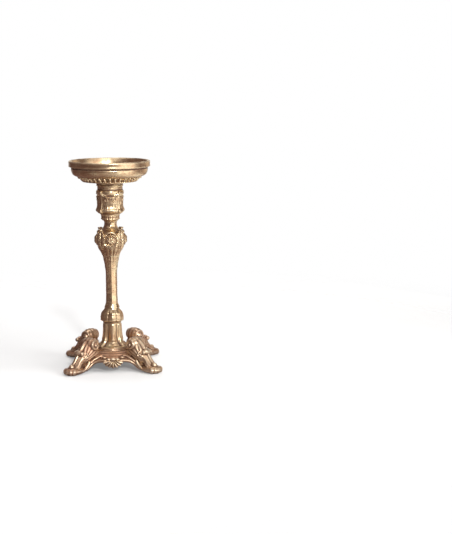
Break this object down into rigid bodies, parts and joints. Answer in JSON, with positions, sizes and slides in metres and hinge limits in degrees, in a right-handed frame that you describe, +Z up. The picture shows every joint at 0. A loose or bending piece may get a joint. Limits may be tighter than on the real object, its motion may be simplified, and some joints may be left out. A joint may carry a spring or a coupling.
{
  "type": "candle holder",
  "caption": "Tall gilt pillar candle holder: shallow round dish over a carved egg ring, leafy capital and knop on a slender shaft, on a spreading base of scrolled legs with shell aprons.",
  "frame": {"origin": "on the table, under the middle of the base", "axes": "+Z up along the shaft; the front is -Y and shows an apron with its shell; the legs stand on the diagonals between X and Y"},
  "size_m": [0.1532, 0.1532, 0.328],
  "materials": {
    "gilt_wood": "gold leaf over red-brown clay, antiqued in the hollows and rubbed on the edges",
    "zinc_steel": "zinc plated",
    "brass": "plain turned brass",
    "bare_wood": "unfinished beech",
    "felt": "dark brown felt"
  },
  "bodies": {
    "root": {"drip_pan": "gilt_wood", "egg_ring": "gilt_wood", "pan_cove": "gilt_wood", "capital": "gilt_wood", "neck_collar": "gilt_wood", "neck_spool": "gilt_wood", "knop": "gilt_wood", "shaft": "gilt_wood", "shaft_bead": "gilt_wood", "leaf_ring": "gilt_wood", "lower_stem": "gilt_wood", "stem_foot": "gilt_wood", "base_hub": "gilt_wood", "capital_scroll_1": "gilt_wood", "capital_scroll_2": "gilt_wood", "capital_scroll_3": "gilt_wood", "capital_scroll_4": "gilt_wood", "capital_panel_1": "gilt_wood", "capital_panel_2": "gilt_wood", "capital_panel_3": "gilt_wood", "capital_panel_4": "gilt_wood", "knop_leaf_1": "gilt_wood", "knop_leaf_2": "gilt_wood", "knop_leaf_3": "gilt_wood", "knop_leaf_4": "gilt_wood", "knop_boss_1": "gilt_wood", "knop_boss_2": "gilt_wood", "knop_boss_3": "gilt_wood", "knop_boss_4": "gilt_wood", "leg_1": "gilt_wood", "leg_2": "gilt_wood", "leg_3": "gilt_wood", "leg_4": "gilt_wood", "apron_1": "gilt_wood", "apron_2": "gilt_wood", "apron_3": "gilt_wood", "apron_4": "gilt_wood", "shell_1": "gilt_wood", "shell_2": "gilt_wood", "shell_3": "gilt_wood", "shell_4": "gilt_wood", "tie_rod": "zinc_steel", "base_washer": "zinc_steel", "base_nut": "zinc_steel", "pan_insert": "brass", "leg_dowels": "bare_wood", "felt_pads": "felt"}
  },
  "joints": []
}
